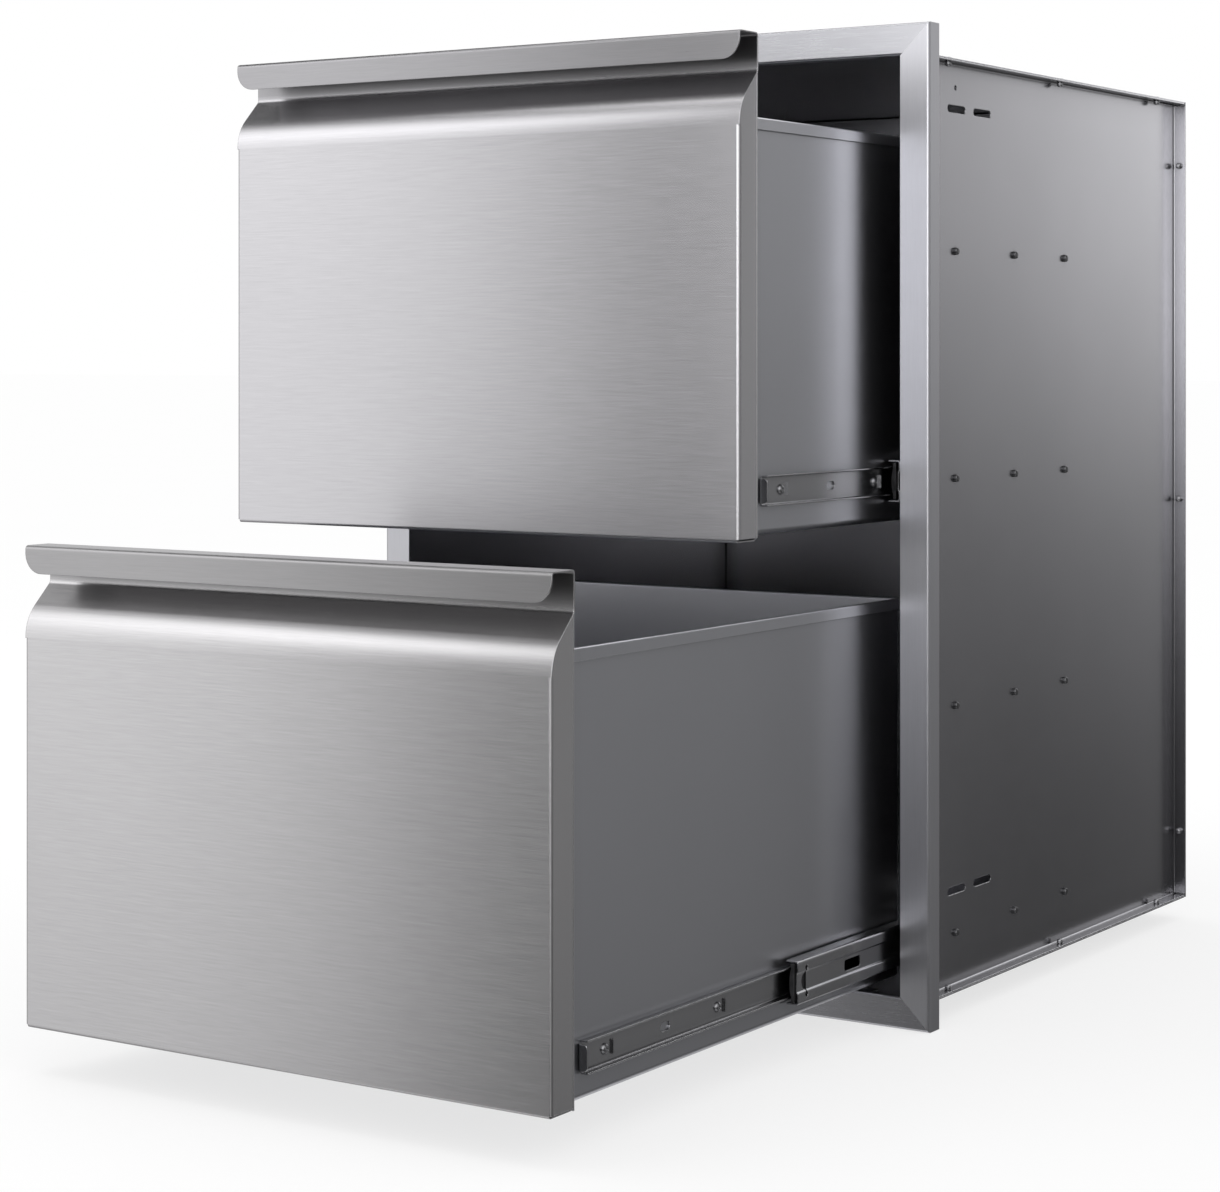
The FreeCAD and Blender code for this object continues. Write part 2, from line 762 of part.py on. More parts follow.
def latch_cutter(x_range, y, z):
    """Cutter for the latch near the rail's front: a slit with a round hole at each end."""
    slit = block((x_range[0], y - latch_width / 2, z - latch_half), (x_range[1], y + latch_width / 2, z + latch_half))
    pieces = [slit]
    for end in (z - latch_half, z + latch_half):
        pieces.append(rod(latch_hole_radius, (x_range[0], y, end), (x_range[1], y, end)))
    arc = Part.Arc(Vector(x_range[0], y, z - latch_bulge), Vector(x_range[0], y - latch_bulge_depth, z),
                   Vector(x_range[0], y, z + latch_bulge)).toShape()
    chord = Part.makeLine(Vector(x_range[0], y, z + latch_bulge), Vector(x_range[0], y, z - latch_bulge))
    moon = Part.Face(Part.Wire([arc, chord])).extrude(Vector(x_range[1] - x_range[0], 0, 0))
    pieces.append(moon)
    return joined(pieces)


def middle_rail(z):
    """Rail between the two others: its web is pressed in along the middle, past the screw heads."""
    half = middle_rail_height / 2
    back = half_box + slide_space - rail_sheet - middle_rail_gap / 2
    lip = half_box + middle_rail_lip
    recess = back - middle_recess
    inner = middle_recess_half
    outer = middle_recess_half + middle_recess
    path = [(lip, z + half), (back, z + half), (back, z + outer), (recess, z + inner),
            (recess, z - inner), (back, z - outer), (back, z - half), (lip, z - half)]
    small = rail_bend / 4
    bends = [rail_bend, small, small, small, small, rail_bend]
    length = slide_length - middle_rail_start
    rail = folded(path, -rail_sheet, bends, plane_xz, Vector(0, length, 0))
    front = rail_front_y + middle_rail_start
    rail.translate(Vector(0, front, 0))
    through = (recess - 2 * rail_sheet, back + 1)
    cutters = [latch_cutter(through, front + latch_setback, z)]
    for step in range(window_count):
        place = front + window_first + window_pitch * step
        cutters.append(rounded_window(through, place, z))
    return rail.cut(Part.makeCompound(cutters))


def inner_rail(z):
    """Rail on the drawer: a shallow channel whose front end is turned out as a tab."""
    half = inner_rail_height / 2
    edge = half_box + inner_rail_depth
    start = rail_front_y
    channel_start = start + tab_clearance
    path = [(edge, z + half), (half_box, z + half), (half_box, z - half), (edge, z - half)]
    channel = folded(path, rail_sheet, rail_bend, plane_xz, Vector(0, slide_length - tab_clearance, 0))
    channel.translate(Vector(0, channel_start, 0))
    tab_half = tab_height / 2
    tab_path = [(half_box, channel_start + 2 * rail_bend), (half_box, start), (half_box + tab_reach, start)]
    tab = folded(tab_path, rail_sheet, rail_bend, plane_xy, Vector(0, 0, tab_height))
    tab.translate(Vector(0, 0, z - tab_half))
    shape = block((half_box - rail_sheet, start - rail_sheet, z - tab_half),
                  (half_box + tab_reach, channel_start + 3 * rail_bend, z + tab_half))
    outer_edges = [edge_ for edge_ in shape.Edges
                   if abs(edge_.tangentAt(edge_.FirstParameter).y) > 0.9 and edge_.CenterOfMass.x > half_box]
    tab = tab.common(shape.makeFillet(tab_corner, outer_edges))
    pieces = [channel, tab]
    for place in rail_screw_ys()[:2]:
        rib_y = place + rib_setback
        pieces.append(block((half_box, rib_y, z - rib_height / 2),
                            (half_box + rail_sheet + rib_rise, rib_y + rail_sheet, z + rib_height / 2)))
    rail = joined(pieces)
    through = (half_box - 1, half_box + rail_sheet + 1)
    cutters = [slot_through_x(through, start + inner_slot_setback, z, inner_slot_length, inner_slot_width)]
    for y in rail_screw_ys():
        cutters.append(rod(rail_screw_diameter / 2 + fit_clearance, (through[0], y, z), (through[1], y, z)))
    return rail.cut(Part.makeCompound(cutters))


def bumper(z):
    """Plastic piece in the front end of a middle rail: a collar and a nose with a curved front."""
    front = rail_front_y + middle_rail_start
    back = half_box + slide_space - 2 * rail_sheet - middle_rail_gap / 2 - middle_recess
    inner = half_box + nose_inner
    outer = back - bumper_clearance
    half = nose_height / 2
    tip = front - nose_length
    arc = Part.Arc(Vector(inner, tip + nose_bulge, z + half), Vector(inner, tip, z),
                   Vector(inner, tip + nose_bulge, z - half)).toShape()
    sides_and_rear = Part.makePolygon([Vector(inner, tip + nose_bulge, z - half), Vector(inner, front + nose_tail, z - half),
                                       Vector(inner, front + nose_tail, z + half), Vector(inner, tip + nose_bulge, z + half)])
    nose = Part.Face(Part.Wire([arc] + sides_and_rear.Edges)).extrude(Vector(outer - inner, 0, 0))
    collar_half = collar_height / 2
    collar = block((half_box + collar_inner, front - collar_front, z - collar_half),
                   (outer, front + collar_rear, z + collar_half))
    return joined([nose, collar])


def ball_rows(kind, z):
    """Geometry of the two rows of balls between a pair of rails: x, the two heights and the radius."""
    if kind == "outer":
        low = middle_rail_height / 2
        high = outer_rail_height / 2 - rail_sheet
        x = half_box + outer_ball_place
    else:
        low = inner_rail_height / 2
        high = middle_rail_height / 2 - rail_sheet
        x = half_box + inner_ball_place
    radius = (high - low) / 2 - ball_clearance
    centre = (low + high) / 2
    return x, (z - centre, z + centre), radius


def strip_places(kind):
    """Start and length of a pair of strips near the middle of their rail, and the places of the balls."""
    if kind == "outer":
        length, shift = outer_strip_length, outer_strip_shift
    else:
        length, shift = inner_strip_length, inner_strip_shift
    start = rail_front_y + (slide_length - length) / 2 + shift
    step = (length - 2 * strip_end) / (balls_per_strip - 1)
    return start, length, [start + strip_end + step * index for index in range(balls_per_strip)]


def ball_strips(kind, z):
    """The two thin strips that space the balls, one above and one below the rail."""
    x, heights, radius = ball_rows(kind, z)
    start, length, places = strip_places(kind)
    hole = radius + fit_clearance
    strips = []
    for height in heights:
        strip = block((x - strip_width / 2, start, height - strip_sheet / 2),
                      (x + strip_width / 2, start + length, height + strip_sheet / 2))
        holes = [rod(hole, (x, place, height - 1), (x, place, height + 1)) for place in places]
        strips.append(strip.cut(Part.makeCompound(holes)))
    return Part.makeCompound(strips)


def balls(kind, z):
    x, heights, radius = ball_rows(kind, z)
    return [Part.makeSphere(radius, Vector(x, place, height)) for height in heights for place in strip_places(kind)[2]]


def slide_spacer(z):
    """Channel between the outer rail and the shell's side, open towards the side."""
    half = spacer_height / 2
    face = half_box + slide_space
    path = [(shell_inner, z + half), (face, z + half), (face, z - half), (shell_inner, z - half)]
    channel = folded(path, rail_sheet, rail_bend, plane_xz, Vector(0, spacer_length, 0))
    channel.translate(Vector(0, rail_front_y + outer_rail_start, 0))
    hole = screw_diameter / 2 + screw_clearance
    holes = [rod(hole, (face - 1, y, z), (face + 2, y, z)) for y in insert_columns]
    return channel.cut(Part.makeCompound(holes))


def mounting_screw(side, y, z):
    """Low-headed screw through the outer rail and the spacer, into its insert."""
    seat = half_box + slide_space - rail_sheet
    head = screw_head_diameter / 2
    shank = screw_diameter / 2
    socket = screw_socket / 2
    end = shell_inner + insert_length - insert_wall - seat
    profile = [(-screw_head_height, socket), (-screw_head_height, head * 0.7), (-screw_head_height * 0.5, head),
               (0, head), (0, shank), (end - 0.5, shank), (end, shank - 0.5), (end, 0), (-screw_head_height * 0.4, 0),
               (-screw_head_height * 0.4, socket)]
    return turned(profile, (side * seat, y, z), (side, 0, 0))


def rail_screw(side, y, z):
    """Screw that holds the inner rail to the box, with a socket in its rounded head."""
    seat = half_box + rail_sheet
    head = rail_screw_head / 2
    height = rail_screw_head_height
    socket = rail_screw_socket / 2
    shank = rail_screw_diameter / 2
    grip = rail_sheet + box_sheet
    profile = [(-height, socket), (-height, head * 0.5), (-height * 0.7, head * 0.82), (-height * 0.25, head),
               (0, head), (0, shank), (grip, shank), (grip, 0), (-height * 0.35, 0), (-height * 0.35, socket)]
    return turned(profile, (side * seat, y, z), (-side, 0, 0))


def save_frame_and_shell():
    for name, side in sides.items():
        save("frame_%s_stile" % name, frame_stile(side))
        save("shell_%s_side" % name, shell_side(side))
    save("frame_top_rail", frame_rail(True))
    save("frame_bottom_rail", frame_rail(False))
    save("shell_top", shell_top_panel())
    save("shell_bottom", shell_bottom_panel())
    save("shell_back", shell_back_panel())
    save("shell_rivets", Part.makeCompound([rivet(*place) for place in all_shell_rivets()]))
    inserts = [threaded_insert(side, y, z) for side in sides.values() for z in insert_rows for y in insert_columns]
    save("threaded_inserts", Part.makeCompound(inserts))
    screws = [mounting_screw(side, y, drawer["slide_z"])
              for drawer in drawers.values() for side in sides.values() for y in insert_columns]
    save("slide_mounting_screws", Part.makeCompound(screws))


def save_slide(level, name, side, drawer):
    z = drawer["slide_z"]
    middle = drawer["middle_open"]
    moved_out = drawer["drawer_open"]
    prefix = "%s_%s_" % (level, name)
    save(prefix + "slide_spacer", mirrored(slide_spacer(z), side))
    save(prefix + "outer_rail", mirrored(outer_rail(z), side))
    save(prefix + "middle_rail", shifted(mirrored(middle_rail(z), side), -middle))
    save(prefix + "rail_bumper", shifted(mirrored(bumper(z), side), -middle))
    save(prefix + "inner_rail", shifted(mirrored(inner_rail(z), side), -moved_out))
    save(prefix + "outer_ball_strips", shifted(mirrored(ball_strips("outer", z), side), -middle / 2))
    save(prefix + "inner_ball_strips", shifted(mirrored(ball_strips("inner", z), side), -(middle + moved_out) / 2))


def save_balls(level, drawer):
    z = drawer["slide_z"]
    middle = drawer["middle_open"]
    shifts = {"outer": -middle / 2, "inner": -(middle + drawer["drawer_open"]) / 2}
    for kind, shift in shifts.items():
        group = [mirrored(ball, side) for side in sides.values() for ball in balls(kind, z)]
        save("%s_%s_balls" % (level, kind), shifted(Part.makeCompound(group), shift))


def save_drawer(level, drawer):
    shift = -drawer["drawer_open"]
    save("%s_drawer_front" % level, shifted(drawer_front(drawer), shift))
    save("%s_inner_front" % level, shifted(inner_front(drawer), shift))
    for name, side in sides.items():
        save("%s_box_%s_side" % (level, name), shifted(box_side(drawer, side), shift))
    save("%s_box_back" % level, shifted(box_back(drawer), shift))
    save("%s_box_floor" % level, shifted(box_floor(drawer), shift))
    rivets = [rivet(*place) for place in front_rivet_places(drawer)]
    save("%s_front_rivets" % level, shifted(Part.makeCompound(rivets), shift))
    screws = [rail_screw(side, y, drawer["slide_z"]) for side in sides.values() for y in rail_screw_ys()]
    save("%s_rail_screws" % level, shifted(Part.makeCompound(screws), shift))


os.makedirs("parts", exist_ok=True)
save_frame_and_shell()
for level_name, drawer_sizes in drawers.items():
    for side_name, side_sign in sides.items():
        save_slide(level_name, side_name, side_sign, drawer_sizes)
    save_balls(level_name, drawer_sizes)
    save_drawer(level_name, drawer_sizes)
print("frame %.1f x %.1f, shell z %.1f to %.1f, rear %.1f" % (
    2 * half_frame, frame_height, shell_bottom, shell_top, back_inner_y + shell_sheet))
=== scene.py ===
import bmesh
import bpy
import json
import math
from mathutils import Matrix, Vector


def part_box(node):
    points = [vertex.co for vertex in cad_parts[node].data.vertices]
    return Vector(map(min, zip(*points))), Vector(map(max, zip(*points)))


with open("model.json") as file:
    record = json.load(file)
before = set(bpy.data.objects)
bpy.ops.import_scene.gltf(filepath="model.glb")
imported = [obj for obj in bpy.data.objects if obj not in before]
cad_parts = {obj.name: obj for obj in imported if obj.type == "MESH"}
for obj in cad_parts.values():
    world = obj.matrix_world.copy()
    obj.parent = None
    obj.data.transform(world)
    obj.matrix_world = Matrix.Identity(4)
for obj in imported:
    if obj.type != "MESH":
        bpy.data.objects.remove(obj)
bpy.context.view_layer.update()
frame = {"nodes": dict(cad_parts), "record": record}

# Camera, fitted to the photograph
camera_place = (1.1008, -1.7339, 0.4554)
camera_turn = 33.253
focal_length = 84.66
picture_width, picture_height = 1220, 1192
horizon_row = 351.5


def link_input(nodes, links, socket, value):
    """Sets a socket to a constant, or links another socket to it."""
    if isinstance(value, bpy.types.NodeSocket):
        links.new(value, socket)
    else:
        socket.default_value = value


class Tree:
    """Short calls for building one material's nodes."""

    def __init__(self, name):
        self.material = bpy.data.materials.new(name)
        self.material.use_nodes = True
        self.nodes = self.material.node_tree.nodes
        self.links = self.material.node_tree.links
        self.nodes.clear()
        self.output = self.nodes.new("ShaderNodeOutputMaterial")
        self.place = self.nodes.new("ShaderNodeTexCoord").outputs["Object"]

    def add(self, kind, inputs=None, **settings):
        node = self.nodes.new(kind)
        for key, value in settings.items():
            setattr(node, key, value)
        for key, value in (inputs or {}).items():
            link_input(self.nodes, self.links, node.inputs[key], value)
        return node

    def math(self, operation, a, b=0.0):
        return self.add("ShaderNodeMath", {0: a, 1: b}, operation=operation).outputs[0]

    def noise(self, scale, detail=2.0, roughness=0.5, stretch=(1, 1, 1)):
        """Noise in object space. A stretch below 1 lengthens its cells along that axis."""
        mapped = self.add("ShaderNodeMapping", {"Vector": self.place, "Scale": stretch})
        node = self.add("ShaderNodeTexNoise", {"Vector": mapped.outputs[0], "Scale": scale,
                                               "Detail": detail, "Roughness": roughness})
        return node.outputs["Fac"]

    def span(self, value, low, high, to_low=0.0, to_high=1.0):
        node = self.add("ShaderNodeMapRange", {"Value": value, "From Min": low, "From Max": high,
                                               "To Min": to_low, "To Max": to_high})
        return node.outputs[0]

    def swing(self, noise, reach):
        """Noise spread over -reach to reach."""
        return self.span(noise, 0.3, 0.7, -reach, reach)

    def cross(self, first, second):
        return self.add("ShaderNodeVectorMath", {0: first, 1: second}, operation="CROSS_PRODUCT").outputs[0]

    def tint(self, factor, first, second):
        """Colour between two colours."""
        return self.add("ShaderNodeMix", {0: factor, 6: first, 7: second}, data_type="RGBA").outputs[2]

    def edges(self, radius):
        """The normal rounded near sharp edges, and a mask that is 1 along them and 0 on flat faces."""
        rounded = self.add("ShaderNodeBevel", {"Radius": radius}, samples=4).outputs[0]
        flat = self.add("ShaderNodeNewGeometry").outputs["Normal"]
        dot = self.add("ShaderNodeVectorMath", {0: rounded, 1: flat}, operation="DOT_PRODUCT")
        return rounded, self.span(dot.outputs["Value"], 0.995, 0.8)

    def crevices(self, reach):
        """A mask that is 1 deep in a fold or corner and 0 on open faces."""
        openness = self.add("ShaderNodeAmbientOcclusion", {"Distance": reach}, samples=6).outputs["AO"]
        return self.span(openness, 0.95, 0.35)


def rgb(red, green, blue):
    return (red, green, blue, 1.0)


# Noise in the steel, its scales in cells per metre. The lines are fine and broad ones added up, 50 times
# as long as they are wide, and line_height is the depth of their bumps in metres. colour_reach is how far
# the colour can go up or down.
fine_line_scale = 2600.0
broad_line_scale = 1100.0
cloud_scale = 9.0
spot_scale = 60.0
line_stretch = 0.02
line_height = 0.00004
fine_share = 0.6
colour_reach = 0.2

# The lip of a pull and the band just under it, darkened with painted shade and made rougher: lip_foot and
# lip_body are how far below the pull's top edge the painted shade begins and is full
lip_foot = 0.0245
lip_body = 0.0205
painted_lip_shade = 0.66
dulled_roughness = 0.04

# Edges that are worn smooth and brightened with a painted highlight, and folds and corners darkened with
# painted shade
edge_highlight_steel = rgb(0.80, 0.80, 0.81)
edge_highlight_share = 0.45
worn_polish = 0.08
fold_shade_colour = rgb(0.05, 0.05, 0.05)
fold_shade_reach = 0.025


def steel(name, colour, rough, grain_axis, grain, spread, smudge, bump, mottle, across=None,
          anisotropy=0.0, edge_radius=0.0006, shaded_lip_top=None, fold_shade=0.5):
    """Steel sheet, with fine lines along an axis, soft smudges, edges worn smooth and brightened with a
    painted highlight, and painted shade in its folds.

    grain and smudge are how far the lines and smudges change the colour, spread and mottle how far
    the lines and spots change the roughness, and bump is how strongly the lines stand out.
    across is a vector across the lines, along which brushed steel blurs reflections most.
    shaded_lip_top is the height of a pull's top edge, below which the lip is made rougher and darkened with
    painted shade.
    """
    t = Tree(name)
    stretch = [line_stretch if axis == grain_axis else 1 for axis in "xyz"]
    fine = t.noise(fine_line_scale, 2.0, 0.6, stretch)
    broad = t.noise(broad_line_scale, 2.0, 0.6, stretch)
    clouds = t.noise(cloud_scale, 3.0, 0.55)
    spots = t.noise(spot_scale, 3.0, 0.6)
    fine_part = t.math("MULTIPLY", fine, fine_share)
    broad_part = t.math("MULTIPLY", broad, 1 - fine_share)
    lines = t.math("ADD", fine_part, broad_part)
    shade = t.math("ADD", t.swing(lines, grain), t.swing(clouds, smudge))
    dark = rgb(*[c * (1 - colour_reach) for c in colour])
    light = rgb(*[min(c * (1 + colour_reach), 1.0) for c in colour])
    base = t.tint(t.math("ADD", shade, 0.5), dark, light)
    roughness = t.math("ADD", t.swing(lines, spread), rough)
    roughness = t.math("ADD", roughness, t.span(spots, 0.35, 0.75, 0.0, mottle))
    # Painted shade: the colour of the lip and the band under it is darkened, and their roughness raised
    if shaded_lip_top:
        height = t.add("ShaderNodeSeparateXYZ", {0: t.place}).outputs["Z"]
        lip = t.span(height, shaded_lip_top - lip_foot, shaded_lip_top - lip_body)
        dulled_and_shaded = t.math("MULTIPLY", lip, t.span(clouds, 0.3, 0.7, 0.9, 1.0))
        factor = t.span(dulled_and_shaded, 0.0, 1.0, 1.0, painted_lip_shade)
        base = t.add("ShaderNodeVectorMath", {0: base, "Scale": factor}, operation="SCALE").outputs[0]
        roughness = t.math("ADD", roughness, t.math("MULTIPLY", dulled_and_shaded, dulled_roughness))
    normal = t.add("ShaderNodeBump", {"Height": lines, "Strength": bump, "Distance": line_height})
    if edge_radius:
        rounded, edge_mask = t.edges(edge_radius)
        # Painted highlight: the colour turns paler along sharp edges, which are also made smoother
        base = t.tint(t.math("MULTIPLY", edge_mask, edge_highlight_share), base, edge_highlight_steel)
        roughness = t.math("SUBTRACT", roughness, t.math("MULTIPLY", edge_mask, worn_polish))
        t.links.new(rounded, normal.inputs["Normal"])
    if fold_shade:
        # Painted shade: the colour darkens deep in folds and corners
        base = t.tint(t.math("MULTIPLY", t.crevices(fold_shade_reach), fold_shade), base, fold_shade_colour)
    shader = t.add("ShaderNodeBsdfPrincipled", {"Base Color": base, "Metallic": 1.0, "Roughness": roughness,
                                                "Normal": normal.outputs[0]})
    if anisotropy:
        shader.inputs["Anisotropic"].default_value = anisotropy
        facing = t.add("ShaderNodeNewGeometry").outputs["Normal"]
        tangent = t.cross(facing, t.cross(across, facing))
        t.links.new(tangent, shader.inputs["Tangent"])
    t.links.new(shader.outputs[0], t.output.inputs[0])
    return t.material


def plastic(name, colour, rough):
    """Moulded plastic with a fine matt grain."""
    t = Tree(name)
    grain = t.noise(2500.0, 3.0, 0.6)
    clouds = t.noise(70.0, 2.0, 0.5)
    rounded, edge_mask = t.edges(0.0005)
    base = t.tint(t.span(clouds, 0.3, 0.7), rgb(*colour), rgb(*[c * 1.7 for c in colour]))
    # Painted highlight: the colour turns paler along sharp edges
    base = t.tint(t.math("MULTIPLY", edge_mask, 0.4), base, rgb(0.09, 0.09, 0.09))
    roughness = t.math("ADD", t.swing(grain, 0.06), rough)
    normal = t.add("ShaderNodeBump", {"Height": grain, "Strength": 0.25, "Distance": 0.00005,
                                      "Normal": rounded})
    shader = t.add("ShaderNodeBsdfPrincipled", {"Base Color": base, "Roughness": roughness,
                                                "Normal": normal.outputs[0]})
    t.links.new(shader.outputs[0], t.output.inputs[0])
    return t.material


def front(level, colour):
    """Brushed steel of one drawer's front, blurred most up and down."""
    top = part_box(level + "_drawer_front")[1][2]
    return steel(level + "_front_steel", colour, 0.25, "x", grain=0.16, spread=0.015, smudge=0.03,
                 bump=0.006, mottle=0.008, across=(0, 0.2, 1), anisotropy=0.8, shaded_lip_top=top)


materials = {
    "upper_front": front("upper", (0.60, 0.592, 0.607)),
    "lower_front": front("lower", (0.60, 0.592, 0.597)),
    "stile": steel("stile_steel", (0.60, 0.60, 0.627), 0.33, "z", grain=0.10, spread=0.02, smudge=0.03,
                   bump=0.02, mottle=0.01, across=(1, 0.2, 0), anisotropy=0.4, edge_radius=0, fold_shade=0),
    "rail": steel("rail_steel", (0.60, 0.60, 0.627), 0.26, "x", grain=0.10, spread=0.02, smudge=0.03,
                  bump=0.02, mottle=0.01, edge_radius=0, fold_shade=0),
    "shell": steel("shell_steel", (0.497, 0.494, 0.515), 0.20, "y", grain=0.02, spread=0.01, smudge=0.05,
                   bump=0.03, mottle=0.01, fold_shade=0.5),
    # Painted light: paler than the other steel, standing in for the light that the backs of the fronts
    # catch
    "inner": steel("inner_front_painted_light_steel", (0.68, 0.68, 0.69), 0.5, "x", grain=0.06, spread=0.02, smudge=0.03,
                   bump=0.02, mottle=0.01, edge_radius=0, fold_shade=0.3),
    "box": steel("box_steel", (0.59, 0.595, 0.625), 0.30, "y", grain=0.02, spread=0.01, smudge=0.03,
                 bump=0.04, mottle=0.01, fold_shade=0.3),
    "slide": steel("slide_steel", (0.46, 0.46, 0.472), 0.22, "y", grain=0.04, spread=0.02, smudge=0.05,
                   bump=0.05, mottle=0.02, fold_shade=0.4),
    "hardware": steel("hardware_steel", (0.34, 0.34, 0.35), 0.26, None, grain=0.04, spread=0.04,
                      smudge=0.05, bump=0.1, mottle=0.02, fold_shade=0),
    "insert": steel("insert_steel", (0.16, 0.16, 0.165), 0.40, None, grain=0.04, spread=0.04,
                    smudge=0.05, bump=0.1, mottle=0.02, edge_radius=0),
    "ball": steel("ball_steel", (0.75, 0.75, 0.76), 0.08, None, grain=0.02, spread=0.02, smudge=0.02,
                  bump=0.05, mottle=0, fold_shade=0),
    "bumper": plastic("bumper_plastic", (0.012, 0.012, 0.013), 0.42),
}
by_slot = {"stainless_shell": "shell", "stainless_box": "box", "slide_steel": "slide",
           "hardware_steel": "hardware", "ball_steel": "ball", "bumper_plastic": "bumper"}
slot_of = {entry["node"]: entry["material_slot"] for entry in frame["record"]["subparts"]}
for node, cad_object in frame["nodes"].items():
    if node.startswith("frame_"):
        key = "rail" if node.endswith("_rail") else "stile"
    elif node.endswith("_inner_front"):
        key = "inner"
    elif slot_of[node] == "stainless_front":
        key = node.split("_")[0] + "_front"
    elif node == "threaded_inserts":
        key = "insert"
    else:
        key = by_slot[slot_of[node]]
    for material_slot in cad_object.material_slots:
        material_slot.material = materials[key]


# Stage: pale floor, white surroundings, one soft lamp, and a shaded screen that only the metal reflects

# A colour ramp holds 0 to 1, so the levels are divided by the brightest one that it has room for
brightest_level = 4.0
screen_radius = 3.4
screen_centre = (0, 0, 0.4)
floor_reach = 40
floor_drop = 0.0005
background_share = 0.7


def smooth_levels(t, value, stops, blend="B_SPLINE"):
    """Brightness that follows a list of (value, brightness) stops, 32 at most."""
    low, high = stops[0][0], stops[-1][0]
    ramp = t.add("ShaderNodeValToRGB", {"Fac": t.span(value, low, high)})
    ramp.color_ramp.interpolation = blend
    elements = ramp.color_ramp.elements
    while len(elements) > 1:
        elements.remove(elements[-1])
    for index, (place, level) in enumerate(stops):
        element = elements[0] if index == 0 else elements.new((place - low) / (high - low))
        element.position = (place - low) / (high - low)
        element.color = rgb(*[level / brightest_level] * 3)
    return t.math("MULTIPLY", ramp.outputs[0], brightest_level)


# Brightness of the screen round the object, by degrees clockwise from +Y
round_levels = [
    (-180, 0.9), (-166, 2), (-161, 1.8), (-157.5, 0.7), (-154, 0.19), (-151, 0.28), (-148, 0.84),
    (-144, 1.13), (-140, 1.28), (-130, 1.18), (-119, 0.9), (-112, 0.25), (-102, 0.15), (-90, 0.6),
    (-65, 0.72), (-50, 0.72), (-40, 0.9), (-32, 1.6), (-23, 0.8), (11, 1.15), (19, 1.35), (23, 0.9),
    (27, 0.49), (31, 0.39), (34, 0.48), (38, 0.45), (90, 0.5), (132, 0.6), (141, 1.2), (148, 1.8),
    (156, 2.1), (180, 0.9)]
# Brightness by degrees above the horizon, and where in the round each list counts
height_levels = [
    (-90, 0.9), (-48, 0.8), (-36, 0.3), (-28, 0.1), (-20, 0.09), (-12, 0.12), (-5, 0.32), (0, 0.66),
    (6, 1.15), (15, 1.5), (40, 1.5), (90, 1.3)]
tall_levels = [
    (-90, 0.7), (-50, 0.6), (-38, 0.15), (-28, 0.01), (-18, 0.01), (-13, 0.01), (-8.6, 0.02),
    (-4, 0.28), (-1.2, 1.05), (2, 2.2), (5.5, 2.6), (8.5, 1.2), (13, 0.85), (18, 1.1), (25, 1.1),
    (40, 0.9), (90, 0.8)]
panel_levels = [
    (-90, 0.8), (-48, 0.7), (-35, 0.5), (-25, 0.48), (-17, 0.66), (-11, 0.8), (-5, 0.89), (0, 0.94),
    (5, 1), (12, 1), (18, 1.25), (26, 1.6), (36, 1.6), (43, 0.6), (48, 0.1), (54, 0.02), (64, 0.02),
    (75, 0.4), (90, 1)]
box_levels = [
    (-90, 0.7), (-48, 0.6), (-36, 0.2), (-25, 0.12), (-16, 0.46), (-12, 0.6), (-5, 0.7), (0, 0.95),
    (6, 1.6), (10, 1.5), (16, 0.7), (40, 0.3), (90, 0.6)]
return_levels = [
    (-90, 0.5), (-48, 0.4), (-36, 0.2), (-25, 0.3), (-16, 0.62), (-5, 0.58), (-1, 0.4), (5, 0.28),
    (10, 0.2), (20, 0.12), (40, 0.1), (90, 0.6)]
shares = [([(-180, 1), (-157, 1), (-151, 0), (142, 0), (152, 1), (180, 1)], tall_levels),
          ([(-180, 0), (-157, 0), (-151, 1), (-40, 1), (-20, 0), (180, 0)], panel_levels),
          ([(-180, 0), (31, 0), (34, 1), (60, 1), (90, 0), (180, 0)], box_levels),
          ([(-180, 0), (33.7, 0), (34.7, 1), (60, 1), (90, 0), (180, 0)], return_levels)]


def screen_material():
    """Light that the metal reflects, with levels by direction from the screen's centre."""
    t = Tree("studio_screen")
    t.place = t.add("ShaderNodeNewGeometry").outputs["Position"]
    moved = t.add("ShaderNodeVectorMath", {0: t.place, 1: screen_centre}, operation="SUBTRACT").outputs[0]
    x, y, z = t.add("ShaderNodeSeparateXYZ", {0: moved}).outputs
    azimuth = t.math("MULTIPLY", t.math("ARCTAN2", x, y), 180 / math.pi)
    flat = t.math("SQRT", t.math("ADD", t.math("MULTIPLY", x, x), t.math("MULTIPLY", y, y)))
    elevation = t.math("MULTIPLY", t.math("ARCTAN2", z, flat), 180 / math.pi)
    heights = smooth_levels(t, elevation, height_levels)
    for share, levels in shares:
        part = smooth_levels(t, azimuth, share, "LINEAR")
        own = smooth_levels(t, elevation, levels)
        heights = t.add("ShaderNodeMix", {0: part, 2: heights, 3: own}, data_type="FLOAT").outputs[0]
    level = t.math("MULTIPLY", smooth_levels(t, azimuth, round_levels), heights)
    glow = t.add("ShaderNodeEmission", {"Color": rgb(1, 1, 1.01), "Strength": level})
    t.links.new(glow.outputs[0], t.output.inputs[0])
    return t.material


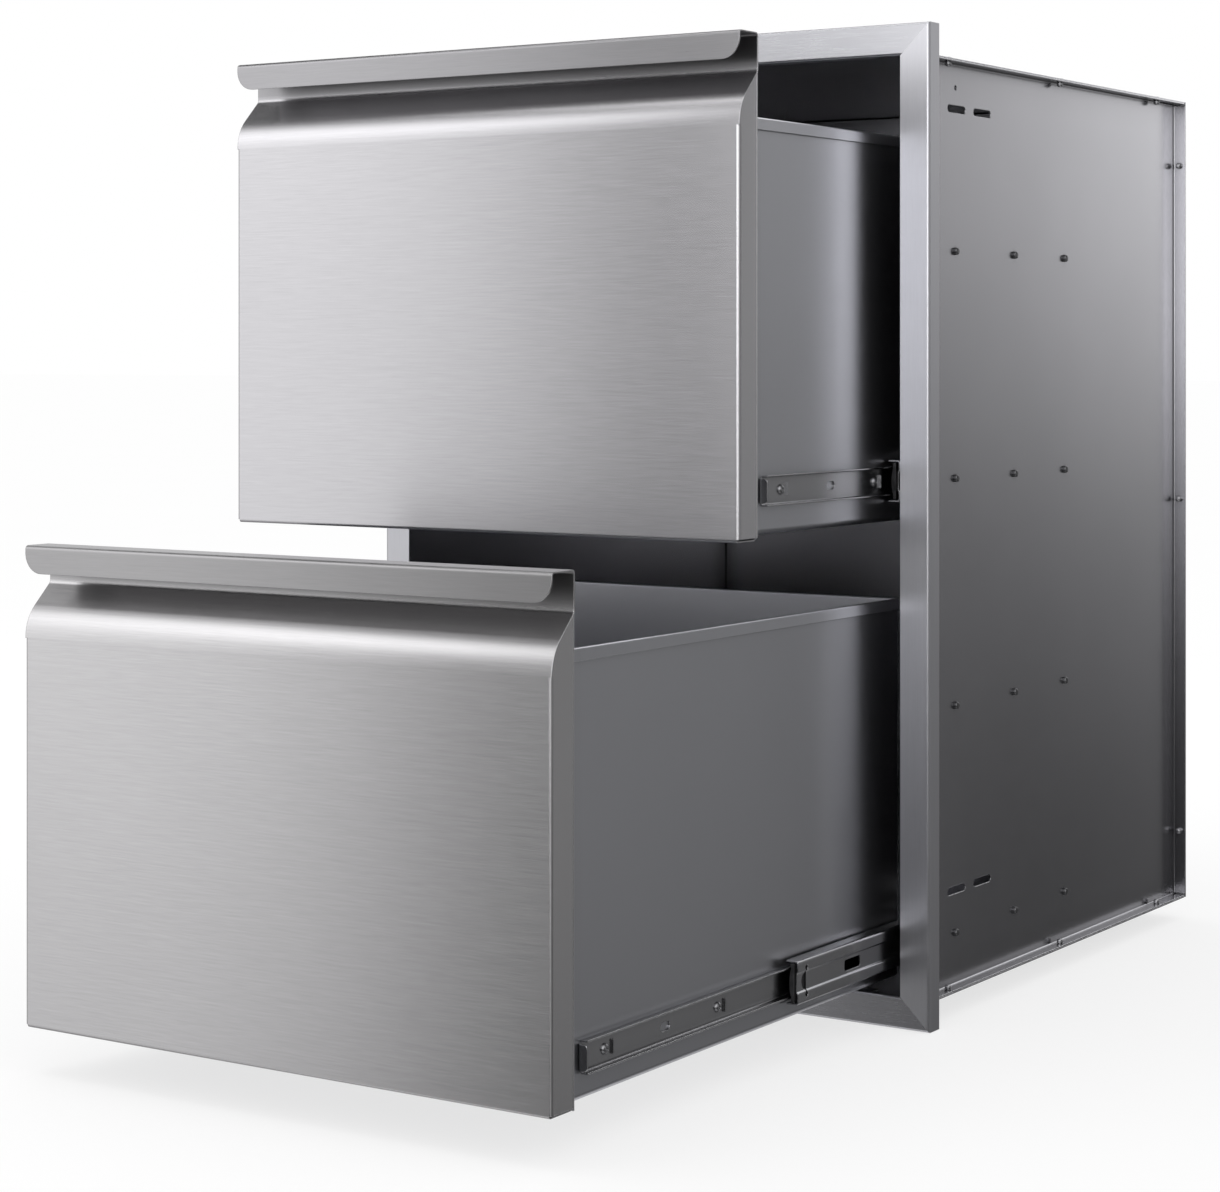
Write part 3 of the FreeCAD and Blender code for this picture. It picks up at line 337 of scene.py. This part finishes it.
def pale(name, colour):
    """Matt floor that keeps the object's shadow, and shows as the white background where it is seen."""
    t = Tree(name)
    base = t.tint(t.span(t.noise(3.0), 0.3, 0.7), rgb(*[c * 0.99 for c in colour]), rgb(*colour))
    shader = t.add("ShaderNodeBsdfPrincipled", {"Base Color": base, "Roughness": 0.9})
    shader.inputs["Specular IOR Level"].default_value = 0.0
    path = t.add("ShaderNodeLightPath").outputs
    seen_in_metal_or_glass = t.math("MAXIMUM", path["Is Glossy Ray"], path["Is Transmission Ray"])
    seen = t.math("MAXIMUM", path["Is Camera Ray"], seen_in_metal_or_glass)
    white = t.add("ShaderNodeEmission", {"Color": rgb(1, 1, 1), "Strength": 1.0})
    share = t.math("MULTIPLY", seen, background_share)
    mix = t.add("ShaderNodeMixShader", {0: share, 1: shader.outputs[0], 2: white.outputs[0]})
    t.links.new(mix.outputs[0], t.output.inputs[0])
    return t.material


def stage_object(name, mesh, material):
    mesh.materials.append(material)
    item = bpy.data.objects.new(name, mesh)
    bpy.context.scene.collection.objects.link(item)
    return item


floor_mesh = bpy.data.meshes.new("floor")
corners = [(x * floor_reach, y * floor_reach, -floor_drop) for x, y in ((-1, -1), (1, -1), (1, 1), (-1, 1))]
floor_mesh.from_pydata(corners, [], [(0, 1, 2, 3)])
floor = stage_object("floor", floor_mesh, pale("floor_white", (0.97, 0.97, 0.97)))
floor.visible_glossy = False

screen_mesh = bpy.data.meshes.new("screen")
screen_form = bmesh.new()
bmesh.ops.create_uvsphere(screen_form, u_segments=48, v_segments=24, radius=screen_radius)
screen_form.to_mesh(screen_mesh)
screen_form.free()
screen = stage_object("screen", screen_mesh, screen_material())
screen.location = screen_centre
for kind in ("camera", "diffuse", "transmission", "volume_scatter", "shadow"):
    setattr(screen, "visible_" + kind, False)

lamp_place = Vector((-0.6, -0.6, 2.8))
lamp_target = Vector((0, 0, 0.3))
lamp_data = bpy.data.lights.new("top_lamp", "AREA")
lamp_data.shape = "RECTANGLE"
lamp_data.size = 1.6
lamp_data.size_y = 1.6
lamp_data.energy = 12
top_lamp = bpy.data.objects.new("top_lamp", lamp_data)
top_lamp.location = lamp_place
top_lamp.rotation_euler = (lamp_target - lamp_place).to_track_quat("-Z", "Y").to_euler()
bpy.context.scene.collection.objects.link(top_lamp)

world = bpy.data.worlds.new("studio")
bpy.context.scene.world = world
world.use_nodes = True
background = world.node_tree.nodes["Background"]
background.inputs["Color"].default_value = rgb(1, 1, 1)
background.inputs["Strength"].default_value = 1.0
world.cycles.sampling_method = "NONE"

camera_data = bpy.data.cameras.new("camera")
camera_data.lens = focal_length
camera_data.sensor_width = 36.0
camera_data.sensor_fit = "HORIZONTAL"
camera_data.shift_y = -(picture_height / 2 - horizon_row) / picture_width
camera = bpy.data.objects.new("camera", camera_data)
camera.location = camera_place
camera.rotation_euler = (math.radians(90), 0, math.radians(camera_turn))
bpy.context.scene.collection.objects.link(camera)
bpy.context.scene.camera = camera
bpy.context.scene.view_settings.view_transform = "Standard"
